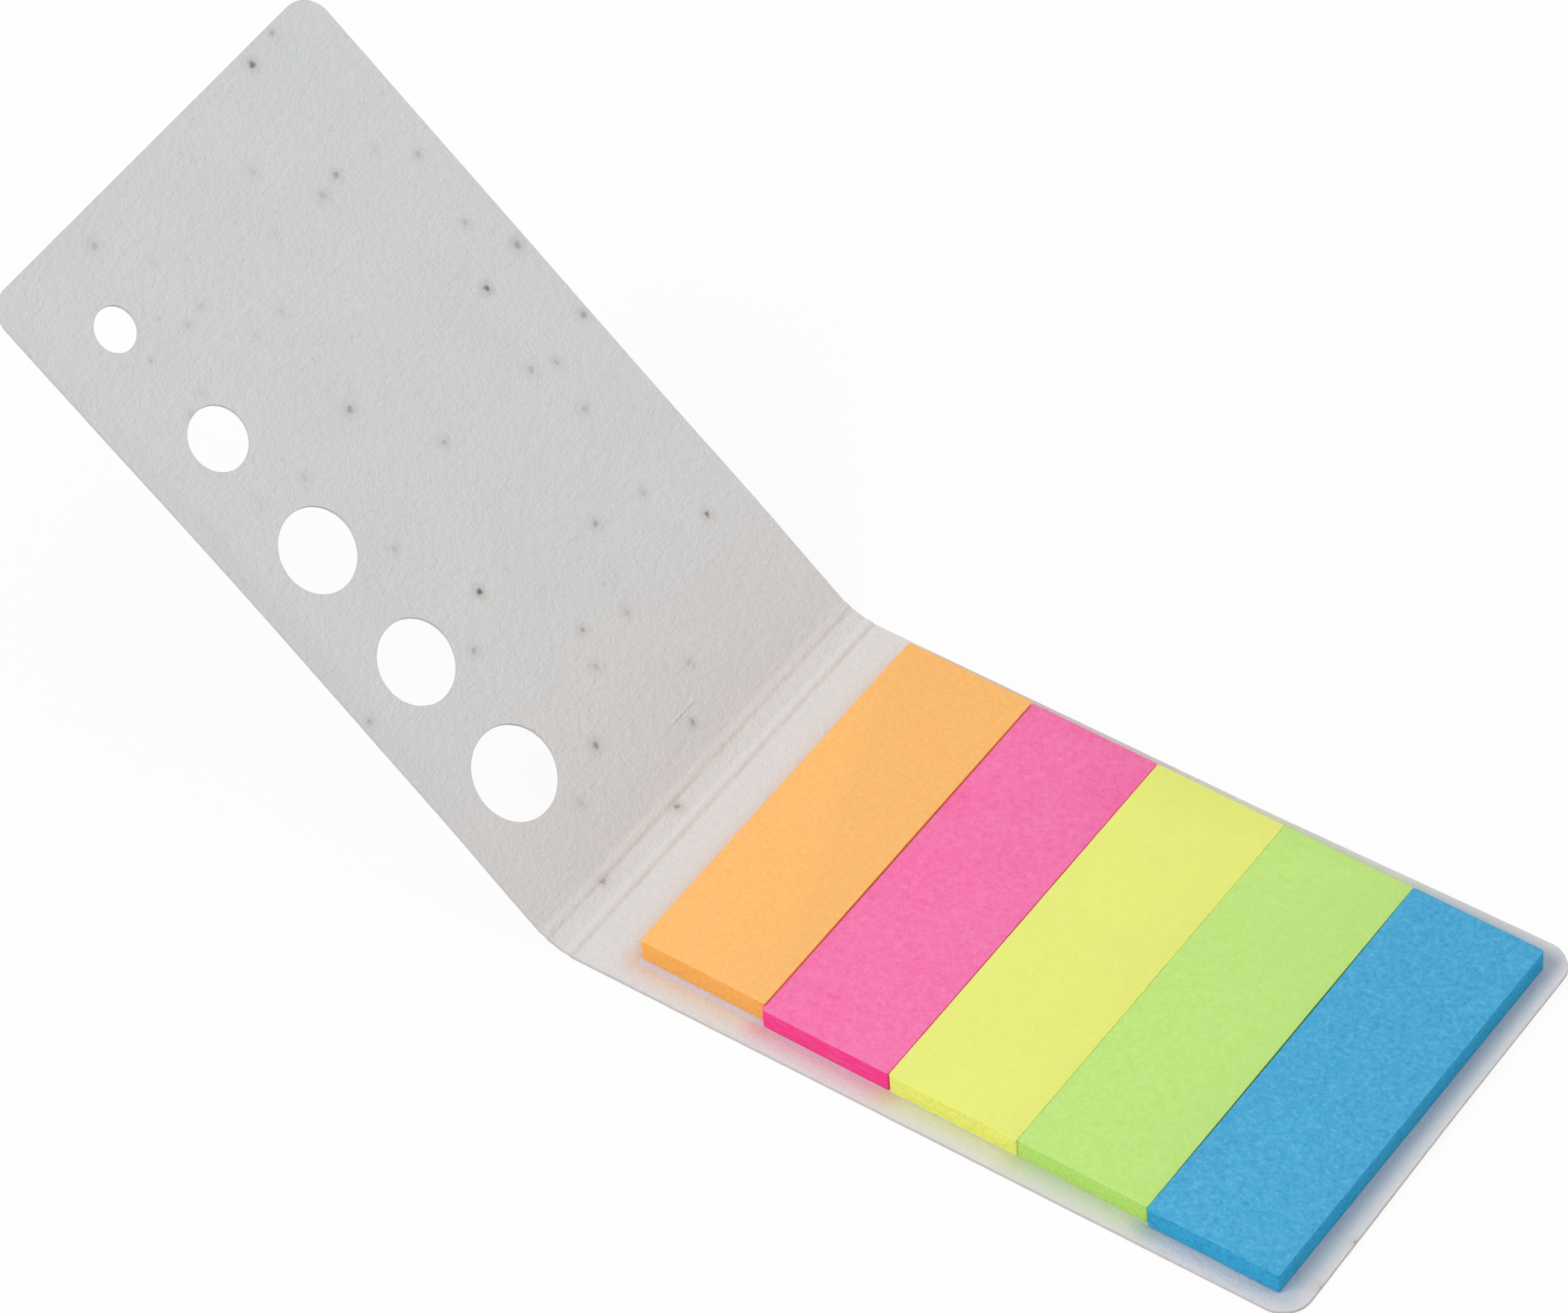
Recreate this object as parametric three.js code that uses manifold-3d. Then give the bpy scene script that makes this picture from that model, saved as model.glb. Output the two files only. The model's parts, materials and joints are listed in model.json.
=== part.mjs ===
// Seed paper sticky notes: five narrow pads of coloured sheets, side by side on a creased paper cover.
// The cover is one sheet with two creases: a back panel that lies on the table, a spine as wide as
// the pads are high, and a front panel with a window over each pad. It stands part open here.
// Millimetres, +Z up. X runs from the spine to the free end, Y from the near edge to the far edge.
// The origin is the centre of the back panel's outer face, on the table.
import * as THREE from "three";
import { mergeVertices } from "three/addons/utils/BufferGeometryUtils.js";
import Module from "manifold-3d";

const wasm = await Module();
wasm.setup();

// Pads, on one thin backing sheet. Their far ends are in line, and the near ends nearly so.
const padWidth = 14.2; // along X
const padLength = 44.9; // along Y
const padHeight = 2.4;
const padGap = 0.09; // between neighbours
const padCornerRadius = 0.25;
const linerThickness = 0.1;
const orangeExtraHeight = 0.2;
const blueExtraHeight = 0.1;
const orangeSetBack = 0.6; // of its near end, which is that much shorter
const blueOverhang = 0.2; // of its near end, past the backing sheet

// Cover sheet, and the margins that it leaves bare round the pads
const sheetThickness = 0.4;
const spineMargin = 6.2; // from the back crease to the first pad
const endMargin = 2.44; // from the last pad to the free end
const nearMargin = 2.45;
const farMargin = 2.25;
const frontShortfall = 1; // the front panel is that much shorter than the back panel
const cornerRadius = 3; // of the four free corners
const closedClearance = 0.1; // between the tallest pad and the closed front panel

// Creases: a raised bead on the inner face, over a groove that was pressed into the outer face
const foldAngle = 20.6; // degrees at each crease: the front panel stands at twice this
const foldSlit = 0.1; // between the ends of two panels at a crease
const beadWidth = 1.2;
const beadHeight = 0.25;
const grooveDepth = 0.15;

// Windows in the front panel, one over each pad when the cover is shut, smaller towards the free end
const largestWindow = 9.4; // diameter, as the others are
const wideWindow = 8.5;
const smallWindow = 6.5;
const smallestWindow = 4.6;
const windowInset = 6.75; // from the near end of the pads to the middle of each window
const smallestWindowDrop = 0.4; // how much nearer to the edge the smallest one sits
const firstWindowShift = 0.7; // from the first pad's middle towards the spine
const windowShiftStep = 0.2; // more for each pad after it

// One entry for each pad, from the spine outwards, with the window that shows its colour
const pads = [
  { name: "orange_pad", colour: 0xfab95e, extra: orangeExtraHeight, setBack: orangeSetBack },
  { name: "pink_pad", colour: 0xf270ac, extra: 0, setBack: 0 },
  { name: "yellow_pad", colour: 0xe3e976, extra: 0, setBack: 0 },
  { name: "green_pad", colour: 0xbde27a, extra: 0, setBack: 0 },
  { name: "blue_pad", colour: 0x4ba7d4, extra: blueExtraHeight, setBack: -blueOverhang },
];
const windows = [
  { diameter: largestWindow, drop: 0 },
  { diameter: wideWindow, drop: 0 },
  { diameter: wideWindow, drop: 0 },
  { diameter: smallWindow, drop: 0 },
  { diameter: smallestWindow, drop: smallestWindowDrop },
];

// Sizes and places that follow
const padPitch = padWidth + padGap;
const linerLength = pads.length * padPitch - padGap;
const backLength = spineMargin + linerLength + endMargin;
const frontLength = backLength - frontShortfall;
const coverWidth = nearMargin + padLength + farMargin;
const backCreaseX = -backLength / 2;
const firstPadX = backCreaseX + spineMargin;
const nearEdgeY = -coverWidth / 2;
const linerY = nearEdgeY + nearMargin;
const tallestPad = padHeight + Math.max(...pads.map((pad) => pad.extra));
const spineWidth = linerThickness + tallestPad + closedClearance;

// Facets on round stretches
const cornerSegments = 8;
const windowSegments = 48;
const beadSegments = 8;

const seedPaper = { color: 0xd2d0cc, roughness: 0.95, metalness: 0 };
const linerPaper = { color: 0xf2f0f4, roughness: 0.9, metalness: 0 };

function toSolid(geometry) {
  const plain = geometry.clone();
  plain.deleteAttribute("normal");
  plain.deleteAttribute("uv");
  const merged = mergeVertices(plain, 1e-4);
  return new wasm.Manifold(
    new wasm.Mesh({
      numProp: 3,
      vertProperties: merged.attributes.position.array,
      triVerts: new Uint32Array(merged.index.array),
    }),
  );
}

function toGeometry(solid) {
  const mesh = solid.getMesh();
  const geometry = new THREE.BufferGeometry();
  geometry.setAttribute("position", new THREE.BufferAttribute(mesh.vertProperties, 3));
  geometry.setIndex(new THREE.BufferAttribute(mesh.triVerts, 1));
  geometry.computeVertexNormals();
  return geometry;
}

function makeMesh(name, geometry, look) {
  const mesh = new THREE.Mesh(geometry, new THREE.MeshStandardMaterial(look));
  mesh.name = name;
  return mesh;
}

// A flat panel of the sheet. It runs along X from the crease at x = 0 to its end at x = length, which
// is negative for a panel that lies towards -X. The inner face is at z = 0 and the outer face below it.
function panelSolid(length, endRadius) {
  const side = Math.sign(length);
  const start = (side * foldSlit) / 2;
  const near = nearEdgeY;
  const far = nearEdgeY + coverWidth;
  const shape = new THREE.Shape();
  shape.moveTo(start, near);
  if (endRadius > 0) {
    shape.lineTo(length - side * endRadius, near);
    shape.absarc(length - side * endRadius, near + endRadius, endRadius, -Math.PI / 2,
      side > 0 ? 0 : -Math.PI, side < 0);
    shape.lineTo(length, far - endRadius);
    shape.absarc(length - side * endRadius, far - endRadius, endRadius,
      side > 0 ? 0 : Math.PI, Math.PI / 2, side < 0);
  } else {
    shape.lineTo(length, near);
    shape.lineTo(length, far);
  }
  shape.lineTo(start, far);
  shape.closePath();
  const geometry = new THREE.ExtrudeGeometry(shape, {
    depth: sheetThickness,
    bevelEnabled: false,
    curveSegments: cornerSegments,
  });
  geometry.translate(0, 0, -sheetThickness);
  return toSolid(geometry);
}

// What the die takes out of a panel at a round window.
function punch(x, y, diameter) {
  const radius = diameter / 2;
  const geometry = new THREE.CylinderGeometry(radius, radius, 3 * sheetThickness, windowSegments);
  geometry.rotateX(Math.PI / 2);
  geometry.translate(x, y, -sheetThickness / 2);
  return toSolid(geometry);
}

// Half of a bead or of a groove: a rib across the whole cover that is highest at x = start and fades
// out at x = end.
function creaseRib(start, end, height, base) {
  const outline = new THREE.Shape();
  outline.moveTo(start, base - height);
  for (let i = 0; i <= beadSegments; i += 1) {
    const along = i / beadSegments;
    const rise = (height * (1 + Math.cos(Math.PI * along))) / 2;
    outline.lineTo(start + (end - start) * along, base + rise);
  }
  outline.lineTo(end, base - height);
  outline.closePath();
  const geometry = new THREE.ExtrudeGeometry(outline, { depth: coverWidth, bevelEnabled: false });
  geometry.rotateX(Math.PI / 2);
  geometry.translate(0, nearEdgeY + coverWidth, 0);
  return toSolid(geometry);
}

// A panel towards -X of its crease carries the crease's bead on its inner face and the groove in its
// outer face.
function creased(panel) {
  const start = -foldSlit / 2;
  const end = start - beadWidth / 2;
  const bead = creaseRib(start, end, beadHeight, 0);
  const groove = creaseRib(start, end, grooveDepth, -sheetThickness);
  return panel.subtract(groove).add(bead);
}

function backCover() {
  return toGeometry(panelSolid(backLength, cornerRadius));
}

function spine() {
  return toGeometry(creased(panelSolid(foldSlit / 2 - spineWidth, 0)));
}

function frontCover() {
  let panel = creased(panelSolid(-frontLength, cornerRadius));
  windows.forEach((hole, i) => {
    const overPad = spineMargin + i * padPitch + padWidth / 2;
    const shift = firstWindowShift + i * windowShiftStep;
    const y = linerY + windowInset - hole.drop;
    panel = panel.subtract(punch(shift - overPad, y, hole.diameter));
  });
  return toGeometry(panel);
}

// A block of sheets on z = 0, with its near spine-side corner at the origin and slightly soft corners.
function padBlock(width, length, height) {
  const shape = new THREE.Shape();
  const r = padCornerRadius;
  shape.moveTo(r, 0);
  shape.lineTo(width - r, 0);
  shape.absarc(width - r, r, r, -Math.PI / 2, 0, false);
  shape.lineTo(width, length - r);
  shape.absarc(width - r, length - r, r, 0, Math.PI / 2, false);
  shape.lineTo(r, length);
  shape.absarc(r, length - r, r, Math.PI / 2, Math.PI, false);
  shape.lineTo(0, r);
  shape.absarc(r, r, r, Math.PI, 1.5 * Math.PI, false);
  return new THREE.ExtrudeGeometry(shape, {
    depth: height,
    bevelEnabled: false,
    curveSegments: cornerSegments / 2,
  });
}

const notes = new THREE.Group();

const back = makeMesh("back_cover", backCover(), seedPaper);
back.position.set(backCreaseX, 0, sheetThickness);
notes.add(back);

const liner = makeMesh("pad_liner", padBlock(linerLength, padLength, linerThickness), linerPaper);
liner.position.set(firstPadX, linerY, sheetThickness);
notes.add(liner);

pads.forEach((pad, i) => {
  const look = { color: pad.colour, roughness: 0.85, metalness: 0 };
  const sheets = padBlock(padWidth, padLength - pad.setBack, padHeight + pad.extra);
  const block = makeMesh(pad.name, sheets, look);
  block.position.set(firstPadX + i * padPitch, linerY + pad.setBack, sheetThickness + linerThickness);
  notes.add(block);
});

const spineFold = new THREE.Group();
spineFold.position.set(backCreaseX, 0, sheetThickness);
spineFold.rotation.y = THREE.MathUtils.degToRad(foldAngle);
spineFold.add(makeMesh("spine", spine(), seedPaper));
notes.add(spineFold);

const frontFold = new THREE.Group();
frontFold.position.set(-spineWidth, 0, 0);
frontFold.rotation.y = THREE.MathUtils.degToRad(foldAngle);
frontFold.add(makeMesh("front_cover", frontCover(), seedPaper));
spineFold.add(frontFold);

export default notes;
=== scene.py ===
import json
import math
import random

import bmesh
import bpy
from mathutils import Matrix, Vector, noise
from mathutils.geometry import delaunay_2d_cdt


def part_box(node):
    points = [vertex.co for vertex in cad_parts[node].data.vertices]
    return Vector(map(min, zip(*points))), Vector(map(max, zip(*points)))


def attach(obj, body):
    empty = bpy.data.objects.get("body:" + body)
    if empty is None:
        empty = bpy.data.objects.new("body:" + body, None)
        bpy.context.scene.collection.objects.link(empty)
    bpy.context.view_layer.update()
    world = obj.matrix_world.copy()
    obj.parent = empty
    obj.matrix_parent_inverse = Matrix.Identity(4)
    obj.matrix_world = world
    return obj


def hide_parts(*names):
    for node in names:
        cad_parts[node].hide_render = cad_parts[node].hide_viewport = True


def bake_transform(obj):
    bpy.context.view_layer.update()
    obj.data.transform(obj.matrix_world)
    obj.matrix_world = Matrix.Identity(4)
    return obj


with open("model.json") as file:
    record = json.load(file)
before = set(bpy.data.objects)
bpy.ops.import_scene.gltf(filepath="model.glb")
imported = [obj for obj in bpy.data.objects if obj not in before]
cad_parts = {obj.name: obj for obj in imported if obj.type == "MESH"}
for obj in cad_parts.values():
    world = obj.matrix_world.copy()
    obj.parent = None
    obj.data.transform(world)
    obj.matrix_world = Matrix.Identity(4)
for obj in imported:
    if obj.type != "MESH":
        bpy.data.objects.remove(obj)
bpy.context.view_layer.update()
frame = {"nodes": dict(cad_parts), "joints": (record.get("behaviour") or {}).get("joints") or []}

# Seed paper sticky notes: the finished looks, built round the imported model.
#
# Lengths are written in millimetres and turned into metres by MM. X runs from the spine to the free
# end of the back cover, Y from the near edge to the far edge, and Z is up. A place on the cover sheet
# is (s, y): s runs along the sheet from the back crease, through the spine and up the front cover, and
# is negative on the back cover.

MM = 0.001


def srgb(red, green, blue):
    """A colour given as 0 to 255, in the linear values that a shader takes."""
    def linear(value):
        value /= 255
        return value / 12.92 if value <= 0.04045 else ((value + 0.055) / 1.055) ** 2.4

    return (linear(red), linear(green), linear(blue), 1.0)


joints = {joint["name"]: joint for joint in frame["joints"]}

# Sizes from the frame, in millimetres
BACK_CREASE = Vector(joints["crease_back"]["pos_m"]) / MM
FRONT_CREASE = Vector(joints["crease_front"]["pos_m"]) / MM
BACK_LOW, BACK_HIGH = (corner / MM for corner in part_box("back_cover"))
FRONT_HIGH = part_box("front_cover")[1] / MM
LINER_LOW, LINER_HIGH = (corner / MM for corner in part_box("pad_liner"))
SHEET = BACK_HIGH.z - BACK_LOW.z
SPINE_WIDTH = (FRONT_CREASE - BACK_CREASE).length
FOLD = math.atan2(FRONT_CREASE.z - BACK_CREASE.z, BACK_CREASE.x - FRONT_CREASE.x)
BACK_LENGTH = BACK_HIGH.x - BACK_CREASE.x
FRONT_LENGTH = (FRONT_HIGH.z - FRONT_CREASE.z) / math.sin(2 * FOLD)
NEAR, FAR = BACK_LOW.y, BACK_HIGH.y

# Cover sheet
CORNER_RADIUS = 3.0
EDGE_ROUND = 0.06
EDGE_FUZZ = 0.02  # how far the cut edge wanders
BEND_HALF = 1.3  # half the width of the strip that bends at each crease
BEND_STEP = 0.02
BEAD_HALF = 0.65
BEAD_HEIGHTS = (0.12, 0.06)  # at the back crease and at the front crease
GROOVE_DEPTH = 0.1
RELIEF = 0.03  # how far the handmade sheet rises and sinks
BROAD_WAVE, FINE_WAVE = 7.0, 2.2  # lengths of its slow and of its quick rise and fall
SEAM = SPINE_WIDTH / 2  # where the two halves of the sheet meet, in the middle of the spine
SEAM_FLAT = 0.15  # how far on both sides of the seam the spine stays unbent

# How far the cutting is off square: across the sheet at the back crease and at the back cover's end,
# and along the sheet at each free end, at its near and its far corner
BACK_SHIFTS = (-0.2, 0.3)
BACK_END_SKEW = (-0.4, 0.05)
FRONT_END_SKEW = (-0.42, 0.12)
SHIFT_RUN = 0.2  # share of the front cover's length over which its shift across ends

# How far the sheet leaves its flat panels
CORNER_LIFT = 1.4  # of the back cover's far corner, if it rose over the whole of CURL_RUN
CURL_RUN = 5.0
CURL_RATE = 1.6  # how quickly the lift grows from the near edge to the far one
PANEL_BULGE = 0.22  # of the front cover towards its near edge
BULGE_START = 0.2  # as a share of the front cover's length
BULGE_SPAN = 0.7
EDGE_CURL = 0.3  # of the near margin, which lies outside the pads
PANEL_SAG = 0.33  # of the front cover towards its far edge
SAG_RUN = 0.4  # share of the front cover's length over which the sag grows

# Mesh of the cover sheet: (distance from a crease, step) of the finer rows, and the others' step
FINE_ROWS = ((BEND_HALF + 0.3, 0.15), (4.0, 0.45))
ROW_STEP = 1.0
SMALLEST_ROW = 0.08
ROWS_ACROSS = 50
CREASE_REACH = 2.0
CREASE_MARGIN, EDGE_MARGIN = 0.1, 0.4  # clear width along the edges, within CREASE_REACH and beyond
MERGE_WITHIN = 1e-5
TINY = 1e-6
CORNER_STEPS = 10
CORNER_CLEARANCE = 0.3
WINDOW_STEPS = 64

# Windows: diameter, shift from the middle of the pad below towards the spine, and inset from the
# near end of the pads, for each pad from the spine outwards
WINDOWS = (
    (9.4, 0.7, 6.75),
    (8.5, 0.9, 6.75),
    (8.5, 1.1, 6.75),
    (6.5, 1.3, 6.75),
    (4.6, 1.5, 6.35),
)

# Each pad's colours: of its top sheet, of its cut edges, and of the light and dark fibres in both; the
# dark one is also painted on the cover round the pad as bounced light and shade
PAD_LOOKS = {
    "orange_pad": {
        "slot": "orange_paper", "top": srgb(251, 187, 111), "edge": srgb(255, 186, 95),
        "grain": 0.10, "fibre": srgb(255, 214, 150), "dark": srgb(240, 165, 84),
    },
    "pink_pad": {
        "slot": "pink_paper", "top": srgb(242, 118, 172), "edge": srgb(255, 62, 147),
        "grain": 0.18, "fibre": srgb(248, 144, 190), "dark": srgb(228, 90, 150),
    },
    "yellow_pad": {
        "slot": "yellow_paper", "top": srgb(228, 233, 121), "edge": srgb(244, 247, 123),
        "grain": 0.08, "fibre": srgb(240, 243, 160), "dark": srgb(214, 220, 96),
    },
    "green_pad": {
        "slot": "green_paper", "top": srgb(189, 226, 125), "edge": srgb(189, 234, 117),
        "grain": 0.10, "fibre": srgb(210, 240, 160), "dark": srgb(168, 210, 98),
    },
    "blue_pad": {
        "slot": "blue_paper", "top": srgb(72, 165, 209), "edge": srgb(60, 174, 220),
        "grain": 0.21, "fibre": srgb(112, 188, 224), "dark": srgb(40, 136, 186),
    },
}

# Shape of the pads
PAD_CORNER = 0.25
CORNER_POINTS = 4
SIDE_STEP = 1.5
PAD_SWELL = 0.02  # the glued sheets spread a little and close most of the gaps
PAD_TRIM = 0.02  # how much shorter each end is than in the model
PAD_ROUGHNESS = 0.012
ROUGH_RATE = (1.7, 1.7, 9.0)
PAD_NUDGE = {"green_pad": -0.025, "pink_pad": -0.01}
# How far the middle of the side towards the spine is drawn in
PAD_HOLLOW = {"pink_pad": 0.06, "yellow_pad": 0.03, "blue_pad": 0.13}
SHEET_GROUP = 0.16  # height of the few sheets that were cut flush together
GROUP_SPREAD = (0.7, 1.3)  # least and greatest share of that height
GROUP_SLIP = 0.018
GROUP_EDGE = 0.02  # height and depth of the fine step between two groups
GROUP_INSET = 0.03
TOP_EDGE = ((0.012, 0.012), (0.0, 0.045))  # depth below the top, and inset there

# How far from a pad, in millimetres, and how strongly its painted bounce light and shade colour the
# cover sheet
BOUNCE_REACH = 2.8
BOUNCE_STRENGTH = 0.32
WARM_REACH = 22.0  # how far up the front cover the warmer shade of the handled part goes

# Camera
CAMERA_PLACE = Vector((292.6, -404.0, 599.0))
CAMERA_FORWARD = Vector((-0.4185, 0.5220, -0.7432))
CAMERA_UP = Vector((-0.3991, 0.6294, 0.6668))
CAMERA_LENS = 191.8
SENSOR_WIDTH = 36.0
NEAR_CLIP, FAR_CLIP = 0.05, 10.0

# Light and floor, in metres and watts
WORLD_STRENGTH = 0.5
KEY_LAMP = {"place": Vector((-0.85, -1.45, 1.75)), "size": 1.25, "power": 26.5}
TOP_LAMP = {"place": Vector((0.3, 0.2, 0.95)), "size": 1.0, "power": 2.95}
FLOOR_SIZE = 3.0
FLOOR_LEVEL = -0.00005
FLOOR_COLOUR = (0.86, 0.86, 0.86, 1)
FLOOR_GLOW = 0.92  # share of the floor's look that is plain white: the rest shows the shadow
WHITE = (1, 1, 1, 1)


class Shader:
    """A material's node tree, with short calls for the nodes that the papers share."""

    def __init__(self, name, roughness, specular):
        self.material = bpy.data.materials.new(name)
        self.material.use_nodes = True
        self.tree = self.material.node_tree
        self.surface = self.tree.nodes["Principled BSDF"]
        self.surface.inputs["Roughness"].default_value = roughness
        self.surface.inputs["Specular IOR Level"].default_value = specular

    def node(self, kind, **settings):
        made = self.tree.nodes.new(kind)
        for key, value in settings.items():
            setattr(made, key, value)
        return made

    def feed(self, socket, value):
        if isinstance(value, bpy.types.NodeSocket):
            self.tree.links.new(value, socket)
        elif value is not None:
            socket.default_value = value

    def math(self, operation, first, second=None, clamp=False):
        made = self.node("ShaderNodeMath", operation=operation, use_clamp=clamp)
        self.feed(made.inputs[0], first)
        self.feed(made.inputs[1], second)
        return made.outputs[0]

    def split(self, place):
        made = self.node("ShaderNodeSeparateXYZ")
        self.feed(made.inputs[0], place)
        return made.outputs

    def vector(self, operation, first, second=None, scale=None):
        made = self.node("ShaderNodeVectorMath", operation=operation)
        self.feed(made.inputs[0], first)
        self.feed(made.inputs[1], second)
        if scale is not None:
            self.feed(made.inputs["Scale"], scale)
        return made.outputs["Value" if operation in ("DISTANCE", "LENGTH") else "Vector"]

    def attribute(self, name):
        return self.node("ShaderNodeAttribute", attribute_name=name).outputs["Vector"]

    def noise(self, place, scale, detail=3.0, roughness=0.55, distortion=0.0):
        made = self.node("ShaderNodeTexNoise")
        self.feed(made.inputs["Vector"], place)
        self.feed(made.inputs["Scale"], scale)
        self.feed(made.inputs["Detail"], detail)
        self.feed(made.inputs["Roughness"], roughness)
        self.feed(made.inputs["Distortion"], distortion)
        return made.outputs["Fac"], made.outputs["Color"]

    def ramp(self, value, low, high, start=0.0, end=1.0, smooth=True):
        made = self.node("ShaderNodeMapRange")
        made.interpolation_type = "SMOOTHSTEP" if smooth else "LINEAR"
        for socket, item in zip(made.inputs, (value, low, high, start, end)):
            self.feed(socket, item)
        return made.outputs[0]

    def mix(self, share, first, second):
        made = self.node("ShaderNodeMix", data_type="RGBA")
        self.feed(made.inputs["Factor"], share)
        self.feed(made.inputs[6], first)
        self.feed(made.inputs[7], second)
        return made.outputs[2]

    def bump(self, height, distance, strength=1.0):
        made = self.node("ShaderNodeBump")
        self.feed(made.inputs["Strength"], strength)
        self.feed(made.inputs["Distance"], distance)
        self.feed(made.inputs["Height"], height)
        self.feed(self.surface.inputs["Normal"], made.outputs["Normal"])

    def colour(self, value):
        self.feed(self.surface.inputs["Base Color"], value)


# Camera and light

def make_camera():
    data = bpy.data.cameras.new("camera")
    data.sensor_width = SENSOR_WIDTH
    data.lens = CAMERA_LENS
    data.clip_start = NEAR_CLIP
    data.clip_end = FAR_CLIP
    camera = bpy.data.objects.new("camera", data)
    bpy.context.scene.collection.objects.link(camera)
    camera.location = CAMERA_PLACE * MM
    back = -CAMERA_FORWARD.normalized()
    side = CAMERA_UP.cross(back).normalized()
    up = back.cross(side)
    rows = ((side.x, up.x, back.x), (side.y, up.y, back.y), (side.z, up.z, back.z))
    camera.rotation_euler = Matrix(rows).to_euler()
    bpy.context.scene.camera = camera


def add_lamp(name, place, size, power):
    """A soft square lamp that points at the part."""
    data = bpy.data.lights.new(name, "AREA")
    data.size = size
    data.energy = power
    lamp = bpy.data.objects.new(name, data)
    bpy.context.scene.collection.objects.link(lamp)
    lamp.location = place
    lamp.rotation_euler = (-place).to_track_quat("-Z", "Y").to_euler()


def seen_directly(tree):
    """1 for the rays that show the backdrop itself: to the camera, in gloss and through glass."""
    rays = tree.nodes.new("ShaderNodeLightPath")
    either = rays.outputs["Is Camera Ray"]
    for kind in ("Is Glossy Ray", "Is Transmission Ray"):
        largest = tree.nodes.new("ShaderNodeMath")
        largest.operation = "MAXIMUM"
        tree.links.new(either, largest.inputs[0])
        tree.links.new(rays.outputs[kind], largest.inputs[1])
        either = largest.outputs[0]
    return either


def make_light():
    world = bpy.data.worlds.new("studio")
    bpy.context.scene.world = world
    world.use_nodes = True
    tree = world.node_tree
    soft = tree.nodes["Background"]
    soft.inputs["Color"].default_value = WHITE
    soft.inputs["Strength"].default_value = WORLD_STRENGTH
    white = tree.nodes.new("ShaderNodeBackground")
    white.inputs["Color"].default_value = WHITE
    either = tree.nodes.new("ShaderNodeMixShader")
    tree.links.new(seen_directly(tree), either.inputs["Fac"])
    tree.links.new(soft.outputs[0], either.inputs[1])
    tree.links.new(white.outputs[0], either.inputs[2])
    tree.links.new(either.outputs[0], tree.nodes["World Output"].inputs["Surface"])
    add_lamp("key", **KEY_LAMP)
    add_lamp("top", **TOP_LAMP)


def make_floor():
    bpy.ops.mesh.primitive_plane_add(size=FLOOR_SIZE, location=(0, 0, FLOOR_LEVEL))
    floor = bpy.context.object
    floor.name = "floor"
    shader = Shader("floor", 0.9, 0.1)
    shader.colour(FLOOR_COLOUR)
    glow = shader.node("ShaderNodeEmission")
    share = shader.math("MULTIPLY", seen_directly(shader.tree), FLOOR_GLOW)
    either = shader.node("ShaderNodeMixShader")
    shader.feed(either.inputs["Fac"], share)
    shader.feed(either.inputs[1], shader.surface.outputs[0])
    shader.feed(either.inputs[2], glow.outputs[0])
    output = shader.tree.nodes["Material Output"]
    shader.feed(output.inputs["Surface"], either.outputs[0])
    floor.data.materials.append(shader.material)


# Seed paper

# Seeds that show on the inner face: distance from the front crease towards the front cover's free end,
# distance from the near edge, size of the core and how dark it is
SEEDS = (
    (77.5, 39.2, 0.34, 0.75), (46.6, 42.4, 0.34, 0.8), (16.1, 44.2, 0.32, 0.72),
    (27.0, 19.4, 0.34, 0.85), (8.8, 17.8, 0.36, 0.6), (64.5, 38.1, 0.32, 0.42),
    (48.0, 22.0, 0.36, 0.4), (39.3, 27.4, 0.32, 0.36), (23.3, 34.1, 0.34, 0.36),
    (17.2, 25.1, 0.32, 0.42), (23.5, 14.6, 0.3, 0.3), (3.3, 27.6, 0.3, 0.5),
    (-1.0, 19.9, 0.36, 0.5), (-0.6, 8.5, 0.32, 0.45), (47.4, 48.3, 0.4, 0.42),
    (38.2, 48.7, 0.36, 0.4), (26.1, 0.9, 0.3, 0.25), (78.3, 43.2, 0.3, 0.3),
    (52.5, 45.5, 0.34, 0.22), (60.4, 46.6, 0.34, 0.22), (64.0, 35.5, 0.4, 0.2),
    (31.7, 41.7, 0.4, 0.2), (36.8, 42.8, 0.3, 0.25), (38.1, 40.1, 0.34, 0.22),
    (22.1, 40.4, 0.36, 0.16), (7.5, 31.7, 0.34, 0.18), (13.8, 23.5, 0.36, 0.2),
    (15.3, 30.0, 0.36, 0.2), (35.7, 15.5, 0.34, 0.16), (76.0, 13.0, 0.4, 0.22),
    (6.0, 12.4, 0.34, 0.16), (-82.8, 4.5, 0.3, 0.5), (-82.8, 10.5, 0.26, 0.5),
    (64.8, 17.4, 0.34, 0.1), (64.4, 14.9, 0.34, 0.12), (59.0, 23.5, 0.34, 0.1),
    (59.0, 11.1, 0.34, 0.1), (58.4, 8.7, 0.36, 0.1), (46.4, 13.3, 0.34, 0.12),
    (48.0, 7.8, 0.4, 0.05), (64.5, 9.3, 0.18, 0.2), (59.1, 19.6, 0.2, 0.14),
    (71.1, 16.4, 0.32, 0.08), (70.3, 31.4, 0.4, 0.1), (64.8, 28.7, 0.34, 0.06),
    (63.6, 43.2, 0.36, 0.08),
)


def seed_spots(shader, sheet):
    """How strongly the listed seeds darken the sheet: the cores, and the soft halos round them."""
    wobble = shader.noise(sheet, 1.6, detail=2.0)[1]
    wobble = shader.vector("SUBTRACT", wobble, (0.5, 0.5, 0.5))
    wobble = shader.vector("MULTIPLY", wobble, (0.7, 0.7, 0.0))
    warped = shader.vector("ADD", sheet, wobble)
    core, halo = None, None
    for along, across, size, dark in SEEDS:
        centre = (SPINE_WIDTH + along, NEAR + across, 1.0)
        distance = shader.vector("DISTANCE", warped, centre)
        spot = shader.ramp(distance, size * 1.3, size * 0.2, 0.0, 0.9 * dark)
        blur = shader.ramp(distance, size * 4.2, size * 0.3, 0.0, 0.6 * dark ** 0.5)
        core = spot if core is None else shader.math("MAXIMUM", core, spot)
        halo = blur if halo is None else shader.math("MAXIMUM", halo, blur)
    return core, halo


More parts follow.
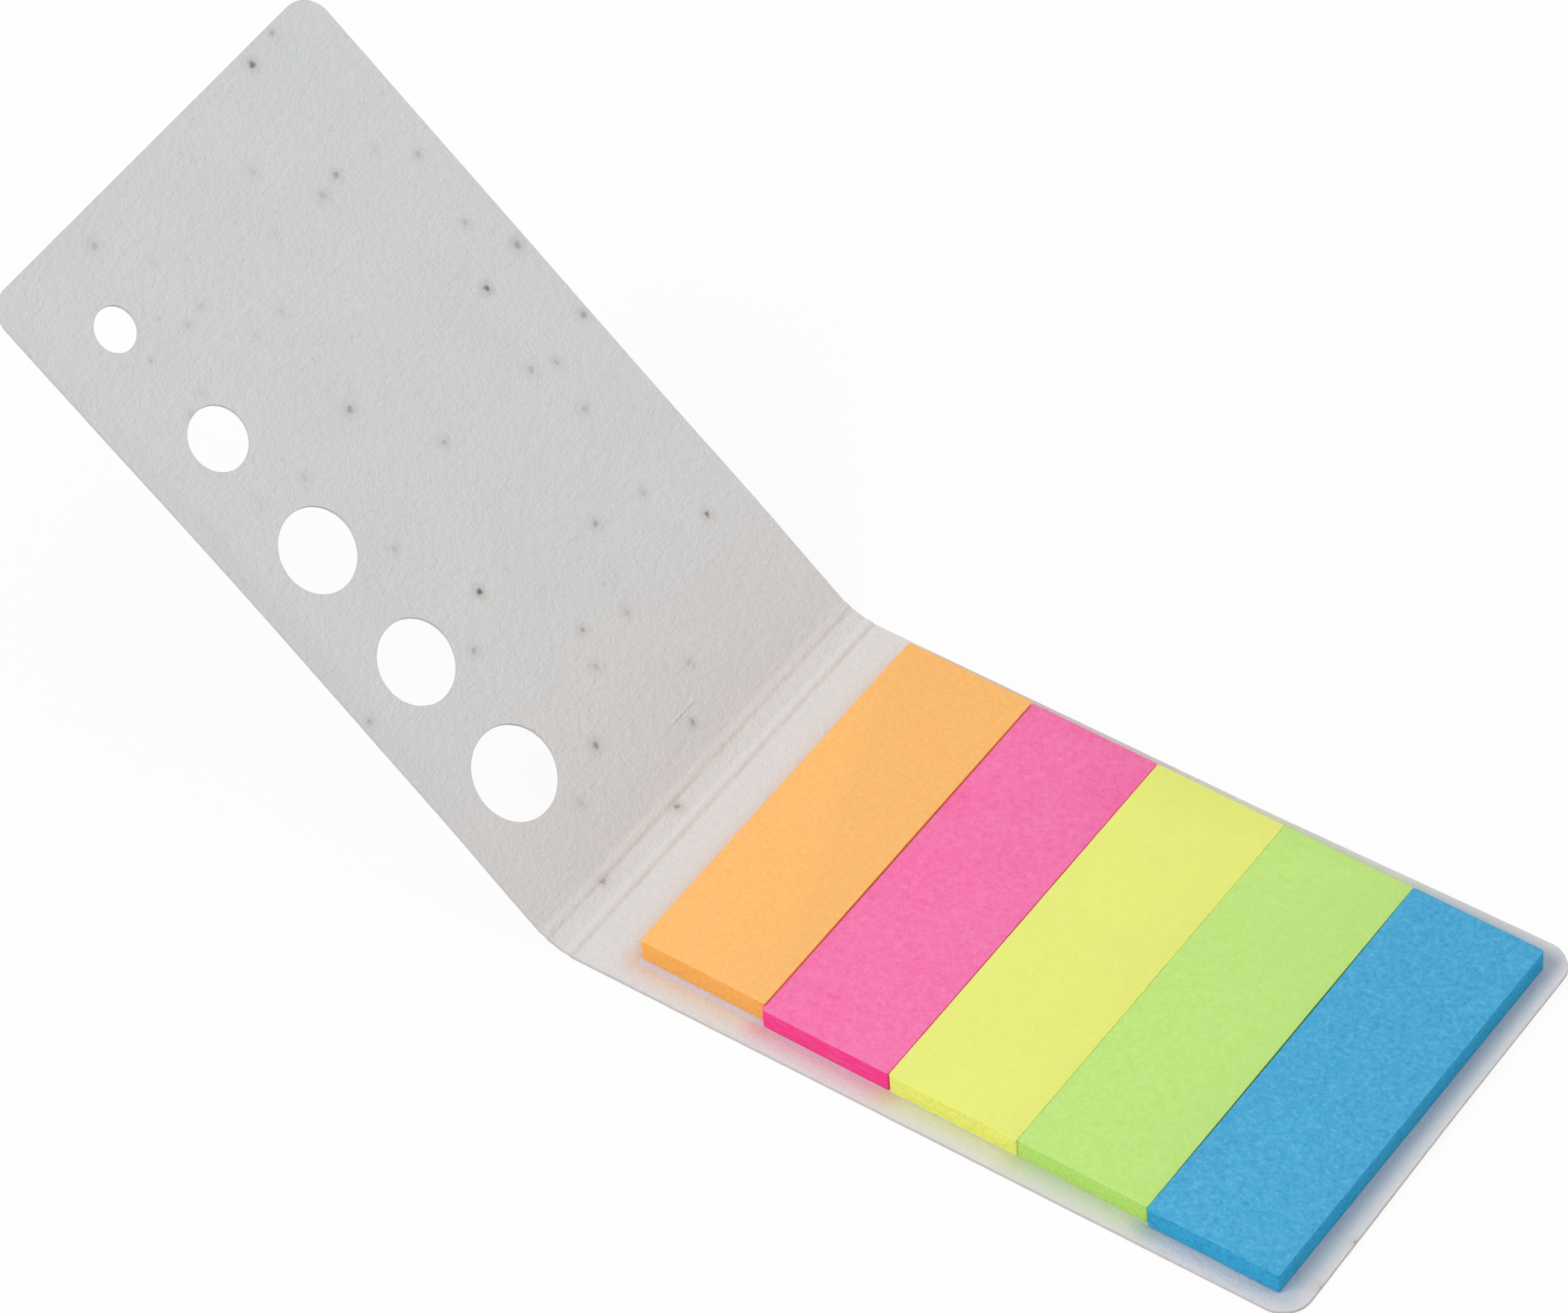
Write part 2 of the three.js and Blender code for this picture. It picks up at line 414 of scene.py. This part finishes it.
def scattered_spots(shader, sheet):
    """Faint seeds deep in the fibres of the inner face, and plain ones on the outer face."""
    level = shader.split(sheet)[2]
    outside = shader.ramp(level, 0.0, -0.9)
    slide = shader.vector("SCALE", (130.0, 70.0, 0.0), scale=outside)
    cell = shader.node("ShaderNodeTexVoronoi", voronoi_dimensions="2D")
    shader.feed(cell.inputs["Vector"], shader.vector("ADD", sheet, slide))
    shader.feed(cell.inputs["Scale"], 0.17)
    shader.feed(cell.inputs["Randomness"], 1.0)
    draw = shader.node("ShaderNodeSeparateColor")
    shader.feed(draw.inputs[0], cell.outputs["Color"])
    size = shader.ramp(draw.outputs[0], 0.3, 1.0, 0.02, 0.11, smooth=False)
    near = shader.math("DIVIDE", cell.outputs["Distance"], size)
    spot = shader.ramp(near, 1.0, 0.1)
    faint = shader.ramp(draw.outputs[1], 0.45, 1.0, 0.0, 0.12, smooth=False)
    plain = shader.ramp(draw.outputs[1], 0.7, 1.0, 0.0, 0.75, smooth=False)
    plain = shader.math("MULTIPLY", plain, outside)
    return shader.math("MULTIPLY", spot, shader.math("ADD", faint, plain), clamp=True)


def pressed_strand(shader, sheet):
    """A short raised strand beside the front crease."""
    place = shader.split(sheet)
    along = shader.math("ADD", place[0], -(SPINE_WIDTH + 4.7))
    across = shader.math("ADD", place[1], -(NEAR + 27.4))
    line = shader.ramp(shader.math("ABSOLUTE", along), 0.2, 0.02)
    ends = shader.ramp(shader.math("ABSOLUTE", across), 2.4, 1.2)
    return shader.math("MULTIPLY", line, ends)


def painted_crease_shade(shader, sheet):
    """Painted shade: a brownish shadow line along the flank of each crease's bead."""
    along = shader.split(sheet)[0]
    wander = shader.ramp(shader.noise(sheet, 0.25, detail=2.0)[0], 0.3, 0.65, 0.25, 1.0)
    total = None
    for centre in (0.0, SPINE_WIDTH):
        off = shader.math("ADD", along, 0.45 - centre)
        line = shader.ramp(shader.math("ABSOLUTE", off), 0.34, 0.05)
        line = shader.math("MULTIPLY", line, wander)
        total = line if total is None else shader.math("ADD", total, line)
    return total


def painted_pad_bounce(shader, sheet, colour):
    """Painted light: the pads' bounced colour and the shade beside them, painted on the inner face
    close round each pad.
    """
    level_weight = 2.0  # keeps the painted bounce off the outer face
    sheet = shader.vector("MULTIPLY", sheet, (1.0, 1.0, level_weight))
    for name, look in PAD_LOOKS.items():
        low, high = (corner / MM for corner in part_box(name))
        middle, half = (low + high) / 2, (high - low) / 2
        off = shader.vector("SUBTRACT", sheet, (BACK_CREASE.x - middle.x, middle.y, level_weight))
        off = shader.vector("ABSOLUTE", off)
        off = shader.vector("SUBTRACT", off, (half.x, half.y, 0.0))
        off = shader.vector("MAXIMUM", off, (0.0, 0.0, 0.0))
        share = shader.ramp(shader.vector("LENGTH", off), BOUNCE_REACH, 0.0, 0.0, BOUNCE_STRENGTH)
        colour = shader.mix(share, colour, look["dark"])
    return colour


def seed_paper():
    """Handmade paper: mottled, felted, and flecked with seeds."""
    shader = Shader("seed_paper", 0.92, 0.22)
    sheet = shader.attribute("sheet")
    cloud = shader.noise(sheet, 0.09, detail=4.0)[0]
    colour = shader.mix(shader.ramp(cloud, 0.3, 0.7), srgb(219, 221, 222), srgb(223, 223, 223))
    along, _, level = shader.split(sheet)
    warm = shader.ramp(along, SPINE_WIDTH + WARM_REACH, SPINE_WIDTH, 0.0, 0.7)
    colour = shader.mix(warm, colour, srgb(223, 218, 216))
    patch = shader.noise(shader.vector("ADD", sheet, (40.0, 20.0, 0.0)), 0.22, detail=3.0)[0]
    patch = shader.ramp(patch, 0.55, 0.8, 0.0, 0.2)
    colour = shader.mix(patch, colour, srgb(216, 211, 204))
    grain = shader.noise(sheet, 3.2, detail=4.0, roughness=0.65)[0]
    grain = shader.ramp(grain, 0.3, 0.7, smooth=False)
    colour = shader.mix(shader.math("MULTIPLY", grain, 0.05), colour, srgb(180, 179, 176))
    # Painted shade: a brownish shadow line beside each crease
    tint = shader.math("MULTIPLY", painted_crease_shade(shader, sheet), 0.3)
    colour = shader.mix(tint, colour, srgb(192, 172, 152))
    cut = shader.ramp(shader.math("ABSOLUTE", level), 0.9, 0.5, 0.0, 0.3)
    colour = shader.mix(cut, colour, srgb(188, 178, 166))
    # Painted light and shade: each pad's dark colour laid on the sheet round it, standing in for its
    # bounced light
    colour = painted_pad_bounce(shader, sheet, colour)
    core, halo = seed_spots(shader, sheet)
    scattered = scattered_spots(shader, sheet)
    colour = shader.mix(scattered, colour, srgb(110, 104, 92))
    colour = shader.mix(shader.math("MULTIPLY", halo, 0.5), colour, srgb(150, 146, 138))
    colour = shader.mix(core, colour, srgb(78, 68, 56))
    shader.colour(colour)

    # Fibres: long noise in two directions, pressed into a soft, uneven felt
    drawn = shader.vector("MULTIPLY", sheet, (0.5, 2.6, 1.0))
    fibres_along = shader.noise(drawn, 0.8, detail=3.0, distortion=1.2)[0]
    drawn = shader.vector("MULTIPLY", sheet, (2.2, 0.45, 1.0))
    fibres_across = shader.noise(drawn, 0.7, detail=3.0, distortion=1.4)[0]
    fibres = shader.math("ADD", fibres_along, fibres_across)
    height = shader.noise(sheet, 1.1, detail=5.0, roughness=0.6)[0]
    strand = pressed_strand(shader, sheet)
    for part, share in ((fibres, 0.35), (grain, 0.22), (core, 0.3), (strand, 0.4)):
        height = shader.math("ADD", height, shader.math("MULTIPLY", part, share))
    shader.bump(height, 0.16 * MM)
    return shader.material


# Cover sheet

def smooth_step(value):
    value = min(1.0, max(0.0, value))
    return value * value * (3 - 2 * value)


def tilt(s):
    """The sheet's slope at s: each crease turns it by FOLD, over a strip of 2 * BEND_HALF."""
    first = smooth_step((s + BEND_HALF) / (2 * BEND_HALF))
    second = smooth_step((s - SPINE_WIDTH + BEND_HALF) / (2 * BEND_HALF))
    return FOLD * (first + second)


def trace_bend():
    """The inner face's line through the two creases, as (s, x, z) in small steps."""
    s = -BEND_HALF
    x = BACK_CREASE.x + BEND_HALF
    z = BACK_CREASE.z
    line = [(s, x, z)]
    while s < SPINE_WIDTH + BEND_HALF:
        middle = tilt(s + BEND_STEP / 2)
        s += BEND_STEP
        x -= BEND_STEP * math.cos(middle)
        z += BEND_STEP * math.sin(middle)
        line.append((s, x, z))
    return line


BEND_LINE = trace_bend()


def between(ends, share):
    return ends[0] + share * (ends[1] - ends[0])


def askew(s, y):
    """How far the sheet's cutting is off square at (s, y): along the sheet, and across it."""
    far = (y - NEAR) / (FAR - NEAR)
    if s < 0:
        share = -s / BACK_LENGTH
        return share ** 2 * between(BACK_END_SKEW, far), between(BACK_SHIFTS, share)
    share = max(0.0, (s - SPINE_WIDTH) / FRONT_LENGTH)
    shift = BACK_SHIFTS[0] * (1 - smooth_step(share / SHIFT_RUN))
    return share ** 3 * between(FRONT_END_SKEW, far), shift


def warp(s, y):
    """How far the sheet stands out of its flat panels at (s, y), towards its inner face."""
    far = (y - NEAR) / (FAR - NEAR)
    if s < 0:
        beyond_end = -s - (LINER_HIGH.x - BACK_CREASE.x)
        beyond_side = y - LINER_HIGH.y
        lift = smooth_step(max(beyond_end, beyond_side) / CURL_RUN)
        lift *= smooth_step(-2 * s / BACK_LENGTH - 1)
        return CORNER_LIFT * lift * smooth_step(CURL_RATE * far)
    share = max(0.0, (s - SPINE_WIDTH) / FRONT_LENGTH)
    middle = min(1.0, max(0.0, (share - BULGE_START) / BULGE_SPAN))
    middle = math.sin(math.pi * middle) ** 2
    margin = smooth_step(1 - (y - NEAR) / (LINER_LOW.y - NEAR)) * math.sin(math.pi * share)
    sag = far * smooth_step(share / SAG_RUN)
    return PANEL_BULGE * (1 - far) * middle + EDGE_CURL * margin - PANEL_SAG * sag


def sheet_point(s, y):
    """Place of the inner face at (s, y), and the way it faces."""
    out = warp(s, y)
    along, across = askew(s, y)
    s += along
    y += across
    start, end = BEND_LINE[0], BEND_LINE[-1]
    slope = tilt(s)
    if s <= start[0]:
        x, z = BACK_CREASE.x - s, BACK_CREASE.z
    elif s >= end[0]:
        x = end[1] - (s - end[0]) * math.cos(slope)
        z = end[2] + (s - end[0]) * math.sin(slope)
    else:
        index = min(int((s - start[0]) / BEND_STEP), len(BEND_LINE) - 2)
        low, high = BEND_LINE[index], BEND_LINE[index + 1]
        share = (s - low[0]) / (high[0] - low[0])
        x = low[1] + share * (high[1] - low[1])
        z = low[2] + share * (high[2] - low[2])
    normal = Vector((math.sin(slope), 0, math.cos(slope)))
    return Vector((x, y, z)) + out * normal, normal


def bead(s):
    """The crease's raised line at s, from 0 to 1."""
    nearest = min(abs(s), abs(s - SPINE_WIDTH))
    return 0.5 + 0.5 * math.cos(math.pi * nearest / BEAD_HALF) if nearest < BEAD_HALF else 0.0


def bead_height(s):
    return BEAD_HEIGHTS[0 if s < SEAM else 1] * bead(s)


def relief(s, y, side):
    """The handmade sheet's slow rise and fall."""
    broad = noise.noise(Vector((s / BROAD_WAVE, y / BROAD_WAVE, 5 * side)))
    fine = noise.noise(Vector((s / FINE_WAVE, y / FINE_WAVE, 9 * side)))
    return RELIEF * (0.7 * broad + 0.45 * fine)


def arc(centre, radius, start, end, count):
    """Points on an arc, with the way that the edge faces at each."""
    for i in range(count + 1):
        angle = start + (end - start) * i / count
        out = (math.cos(angle), math.sin(angle))
        yield (centre[0] + radius * out[0], centre[1] + radius * out[1]), out


def straight(start, end, out, step):
    """Points between two ends, without them, with the way that the edge faces."""
    length = math.dist(start, end)
    count = max(1, round(length / step))
    for i in range(1, count):
        share = i / count
        yield tuple(a + share * (b - a) for a, b in zip(start, end)), out


def rows_along(low, high):
    """Values of s from low to high, close together at the creases."""
    rows = [low]
    while rows[-1] < high - TINY:
        s = rows[-1]
        off = min(abs(s), abs(s - SPINE_WIDTH))
        step = next((step for reach, step in FINE_ROWS if off < reach), ROW_STEP)
        rows.append(min(high, s + step))
    if rows[-1] - rows[-2] < SMALLEST_ROW:
        rows.pop(-2)
    return rows


def half_outline(end, side_rows):
    """The edge of one half of the sheet as (point, way out), round from the seam's near end."""
    away = math.copysign(1.0, end)
    r = CORNER_RADIUS
    turn = math.pi / 2
    half_turn = 2 * turn
    long_side = [s for s in side_rows if abs(s - end) > r + CORNER_CLEARANCE]
    outline = [((s, NEAR), (0.0, -1.0)) for s in [SEAM] + long_side]
    first = (end - away * r, NEAR + r)
    outline += arc(first, r, -turn, 0 if away > 0 else -half_turn, CORNER_STEPS)
    outline += straight((end, NEAR + r), (end, FAR - r), (away, 0.0), ROW_STEP)
    second = (end - away * r, FAR - r)
    outline += arc(second, r, 0 if away > 0 else half_turn, turn, CORNER_STEPS)
    outline += [((s, FAR), (0.0, 1.0)) for s in long_side[::-1] + [SEAM]]
    outline += straight((SEAM, FAR), (SEAM, NEAR), (0.0, 0.0), ROW_STEP)
    return outline


def window_edge(centre, diameter):
    """The edge of a window. It faces the window's middle."""
    points = list(arc(centre, diameter / 2, 0, -2 * math.pi, WINDOW_STEPS))[:-1]
    return [(point, (-out[0], -out[1])) for point, out in points]


def surrounds(loop, point):
    """Whether a closed line of points runs round a point."""
    inside = False
    for (ax, ay), (bx, by) in zip(loop, loop[1:] + loop[:1]):
        if (ay > point[1]) != (by > point[1]):
            if point[0] < ax + (point[1] - ay) * (bx - ax) / (by - ay):
                inside = not inside
    return inside


def make_sheet_half(name, end, windows, material):
    """One half of the cover sheet, from the middle of the spine to its free end."""
    low, high = sorted((SEAM, end))
    rows = rows_along(low, high)
    side_rows = [s for s in rows if abs(s - SEAM) > TINY and abs(s - end) > TINY]
    if end < SEAM:
        side_rows.reverse()
    loops = [half_outline(end, side_rows)]
    loops += [window_edge(centre, diameter) for centre, diameter in windows]

    def fuzz(point):
        rate, layer = 2.3, 3.7
        return EDGE_FUZZ * noise.noise(Vector((point[0] * rate, point[1] * rate, layer)))

    flat, edges, rims = [], [], []
    for loop in loops:
        start = len(flat)
        rim = []
        for (s, y), out in loop:
            wide = fuzz((s, y)) if out != (0.0, 0.0) else 0.0
            outer = (s + out[0] * wide, y + out[1] * wide)
            inner = (s + out[0] * (wide - EDGE_ROUND), y + out[1] * (wide - EDGE_ROUND))
            rim.append(outer)
            flat.append(inner)
        count = len(loop)
        edges += [(start + i, start + (i + 1) % count) for i in range(count)]
        rims.append((start, rim))

    def is_inside(s, y, margin):
        if not (NEAR + margin < y < FAR - margin and low + margin < s < high - margin):
            return False
        over = CORNER_RADIUS - abs(end - s)
        for side in (y - NEAR, FAR - y):
            across = CORNER_RADIUS - side
            if over > 0 and across > 0 and math.hypot(over, across) > CORNER_RADIUS - margin:
                return False
        return all(math.dist((s, y), c) > d / 2 + margin for c, d in windows)

    cross_rows = [NEAR + (FAR - NEAR) * i / ROWS_ACROSS for i in range(1, ROWS_ACROSS)]
    for s in rows:
        at_crease = min(abs(s), abs(s - SPINE_WIDTH)) < CREASE_REACH
        margin = CREASE_MARGIN if at_crease else EDGE_MARGIN
        flat += [(s, y) for y in cross_rows if is_inside(s, y, margin)]

    points, _, triangles, sources, _, _ = delaunay_2d_cdt(
        [Vector(p) for p in flat], edges, [], 0, MERGE_WITHIN
    )
    place_of = {}
    for made, given in enumerate(sources):
        for index in given:
            place_of[index] = made
    on_edge = {place_of[index] for index in range(sum(len(rim) for _, rim in rims))}
    bounds = [[flat[start + i] for i in range(len(rim))] for start, rim in rims]
    kept = []
    for corners in triangles:
        if on_edge.issuperset(corners):
            middle = tuple(sum(points[i][axis] for i in corners) / 3 for axis in (0, 1))
            if not surrounds(bounds[0], middle) or any(surrounds(b, middle) for b in bounds[1:]):
                continue
        kept.append(tuple(corners))

    vertices, places = [], []

    def add(s, y, depth, level):
        point, normal = sheet_point(s, y)
        vertices.append((point + normal * depth) * MM)
        places.append((s, y, level))
        return len(vertices) - 1

    inner = [
        add(p.x, p.y, bead_height(p.x) + relief(p.x, p.y, 1), 1.0) for p in points
    ]
    outer = [
        add(p.x, p.y, GROOVE_DEPTH * bead(p.x) - SHEET + relief(p.x, p.y, 2), -1.0)
        for p in points
    ]
    faces = [tuple(inner[i] for i in corners) for corners in kept]
    faces += [tuple(outer[i] for i in reversed(corners)) for corners in kept]
    for start, rim in rims:
        upper, lower = [], []
        for s, y in rim:
            top = bead_height(s) + relief(s, y, 1)
            bottom = GROOVE_DEPTH * bead(s) - SHEET + relief(s, y, 2)
            upper.append(add(s, y, top - EDGE_ROUND, 0.5))
            lower.append(add(s, y, bottom + EDGE_ROUND, -0.5))
        count = len(rim)
        for i in range(count):
            j = (i + 1) % count
            a, b = place_of[start + i], place_of[start + j]
            faces.append((inner[a], inner[b], upper[j], upper[i]))
            faces.append((upper[i], upper[j], lower[j], lower[i]))
            faces.append((lower[i], lower[j], outer[b], outer[a]))

    mesh = bpy.data.meshes.new(name)
    mesh.from_pydata(vertices, [], faces)
    attribute = mesh.attributes.new("sheet", "FLOAT_VECTOR", "POINT")
    attribute.data.foreach_set("vector", [value for place in places for value in place])
    tidy_normals(mesh)
    mesh.materials.append(material)
    piece = bpy.data.objects.new(name, mesh)
    bpy.context.scene.collection.objects.link(piece)
    return piece


def tidy_normals(mesh, sharp_above=32):
    """Faces turned outwards, and smooth shading with crisp edges."""
    work = bmesh.new()
    work.from_mesh(mesh)
    bmesh.ops.recalc_face_normals(work, faces=work.faces)
    work.to_mesh(mesh)
    work.free()
    mesh.shade_smooth()
    mesh.set_sharp_from_angle(angle=math.radians(sharp_above))


def make_cover():
    """The two halves of the cover sheet, with a window over each pad in the front one."""
    paper = seed_paper()
    windows = []
    for name, (diameter, shift, inset) in zip(PAD_LOOKS, WINDOWS):
        pad_low, pad_high = (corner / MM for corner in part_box(name))
        over = (pad_low.x + pad_high.x) / 2 - BACK_CREASE.x - shift
        windows.append(((SPINE_WIDTH + over, LINER_LOW.y + inset), diameter))
    back = make_sheet_half("cover_back_half", -BACK_LENGTH, [], paper)
    front = make_sheet_half("cover_front_half", SPINE_WIDTH + FRONT_LENGTH, windows, paper)
    middle = (NEAR + FAR) / 2
    ends = [sheet_point(s, middle)[0] * MM for s in (-BEND_HALF, SEAM - SEAM_FLAT)]
    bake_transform(back)
    ends = [sheet_point(s, middle)[0] * MM for s in (SEAM + SEAM_FLAT, SPINE_WIDTH + BEND_HALF)]
    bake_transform(front)
    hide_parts("back_cover", "spine")
    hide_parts("front_cover")


# Pads

def object_place(shader):
    """Place on the part in millimetres."""
    place = shader.node("ShaderNodeTexCoord").outputs["Object"]
    return shader.vector("MULTIPLY", place, (1 / MM, 1 / MM, 1 / MM))


def pad_top_paper(name, look):
    """Dyed note paper: a fine grain of lighter and darker fibres."""
    shader = Shader(name + "_top", 0.82, 0.25)
    place = object_place(shader)
    fine = shader.noise(place, 4.6, detail=4.0, roughness=0.8)[0]
    soft = shader.noise(place, 1.9, detail=3.0, roughness=0.6)[0]
    fine = shader.math("MULTIPLY", shader.math("ADD", fine, soft), 0.5)
    light = shader.ramp(fine, 0.51, 0.66, 0.0, 3.4 * look["grain"], smooth=False)
    dark = shader.ramp(fine, 0.49, 0.34, 0.0, 3.4 * look["grain"], smooth=False)
    for angle in (0.5, 1.6, 2.6):
        laid = shader.node("ShaderNodeMapping")
        shader.feed(laid.inputs["Vector"], place)
        shader.feed(laid.inputs["Rotation"], (0, 0, angle))
        shader.feed(laid.inputs["Scale"], (0.9, 5.0, 1.0))
        strand = shader.noise(laid.outputs[0], 1.0, detail=2.0, distortion=0.8)[0]
        strand = shader.ramp(strand, 0.62, 0.72, 0.0, 1.6 * look["grain"])
        light = shader.math("ADD", light, strand, clamp=True)
    cloud = shader.noise(place, 0.16, detail=3.0)[0]
    colour = shader.mix(shader.ramp(cloud, 0.35, 0.75, 0.0, 0.14), look["top"], look["edge"])
    colour = shader.mix(light, colour, look["fibre"])
    colour = shader.mix(dark, colour, look["dark"])
    shader.colour(colour)
    felt = shader.noise(place, 1.8, detail=5.0, roughness=0.65, distortion=0.6)[0]
    height = shader.math("ADD", felt, shader.math("MULTIPLY", fine, 0.5))
    shader.bump(height, 0.02 * MM, 0.6)
    return shader.material


def pad_edge_paper(name, look):
    """The cut edges of the stacked sheets: fine streaks along them, and a deeper colour."""
    shader = Shader(name + "_edge", 0.88, 0.15)
    place = object_place(shader)
    layers = shader.vector("MULTIPLY", place, (0.5, 0.5, 9.0))
    streak = shader.noise(layers, 1.1, detail=3.0, roughness=0.6)[0]
    crumb = shader.noise(place, 2.6, detail=3.0, roughness=0.6)[0]
    light = shader.ramp(streak, 0.5, 0.64, 0.0, 0.6)
    dark = shader.ramp(crumb, 0.5, 0.36, 0.0, 0.5)
    colour = shader.mix(light, look["edge"], look["top"])
    colour = shader.mix(dark, colour, look["dark"])
    shader.colour(colour)
    height = shader.math("ADD", streak, shader.math("MULTIPLY", crumb, 0.6))
    shader.bump(height, 0.09 * MM, 0.9)
    return shader.material


def pad_outline(low, high, inset):
    """A rectangle with slightly soft corners, as points."""
    r = PAD_CORNER
    points = []
    corners = (
        ((high.x - r, low.y + r), -math.pi / 2), ((high.x - r, high.y - r), 0.0),
        ((low.x + r, high.y - r), math.pi / 2), ((low.x + r, low.y + r), math.pi),
    )
    for (centre, start), following in zip(corners, corners[1:] + corners[:1]):
        points += [p for p, _ in arc(centre, r - inset, start, start + math.pi / 2, CORNER_POINTS)]
        (x, y), turn = following
        stop = (x + (r - inset) * math.cos(turn), y + (r - inset) * math.sin(turn))
        points += [p for p, _ in straight(points[-1], stop, None, SIDE_STEP)]
    return points


def make_pad(name):
    """A glued stack of sheets: its sides step in and out by hairs where sheets were cut."""
    low, high = (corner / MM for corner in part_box(name))
    look = PAD_LOOKS[name]
    centre, half = (low + high) / 2, (high - low) / 2
    rng = random.Random(name)
    levels = []
    z = low.z
    while z < high.z - SHEET_GROUP / 2:
        top = min(high.z, z + SHEET_GROUP * rng.uniform(*GROUP_SPREAD))
        if high.z - top < SHEET_GROUP / 2:
            top = high.z
        slip = (0.5 * GROUP_SLIP * rng.uniform(-1, 1), GROUP_SLIP * rng.uniform(-1, 1))
        levels.append((z, GROUP_INSET, slip))
        levels.append((z + GROUP_EDGE, 0.0, slip))
        levels.append((top - GROUP_EDGE, 0.0, slip))
        z = top
    levels += [(high.z - depth, inset, slip) for depth, inset in TOP_EDGE]
    vertices = []
    for z, inset, slip in levels:
        for x, y in pad_outline(low, high, inset):
            rough = PAD_ROUGHNESS * noise.noise(Vector((x, y, z)) * Vector(ROUGH_RATE))
            wide = 1 + (rough + PAD_SWELL) / half.x
            deep = 1 + (rough - PAD_TRIM) / half.y
            hollow = 0.0
            if x < low.x + PAD_CORNER:
                hollow = PAD_HOLLOW.get(name, 0.0) * math.sin(math.pi * (y - low.y) / (2 * half.y))
            vertices.append(Vector((
                centre.x + (x - centre.x) * wide + slip[0] + PAD_NUDGE.get(name, 0.0) + hollow,
                centre.y + (y - centre.y) * deep + slip[1],
                z,
            )) * MM)
    count = len(vertices) // len(levels)
    last = len(vertices) - count
    faces = [tuple(range(last, last + count)), tuple(reversed(range(count)))]
    for ring in range(0, last, count):
        for i in range(count):
            a, b = ring + i, ring + (i + 1) % count
            faces.append((a, b, b + count, a + count))
    mesh = bpy.data.meshes.new(name + "_stack")
    mesh.from_pydata(vertices, [], faces)
    mesh.materials.append(pad_edge_paper(name, look))
    mesh.materials.append(pad_top_paper(name, look))
    tidy_normals(mesh, sharp_above=25)
    mesh.polygons[0].material_index = 1
    piece = bpy.data.objects.new(name + "_stack", mesh)
    bpy.context.scene.collection.objects.link(piece)
    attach(piece, "back")
    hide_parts(name)


def finish_liner():
    """The thin white sheet that the pads are glued to, coloured a greyish lilac that is partly painted
    shade at the pads' feet.
    """
    shader = Shader("liner_paper", 0.85, 0.2)
    place = object_place(shader)
    cloud = shader.noise(place, 0.8, detail=4.0)[0]
    # Greyish lilac: partly painted shade, for the shadow line at the pads' feet
    shader.colour(shader.mix(cloud, srgb(206, 204, 216), srgb(218, 216, 226)))
    shader.bump(shader.noise(place, 4.0, detail=3.0)[0], 0.02 * MM, 0.5)
    liner = frame["nodes"]["pad_liner"]
    liner.data.materials.clear()
    liner.data.materials.append(shader.material)


bpy.context.scene.view_settings.view_transform = "Standard"
make_camera()
make_light()
make_floor()
make_cover()
for pad in PAD_LOOKS:
    make_pad(pad)
finish_liner()
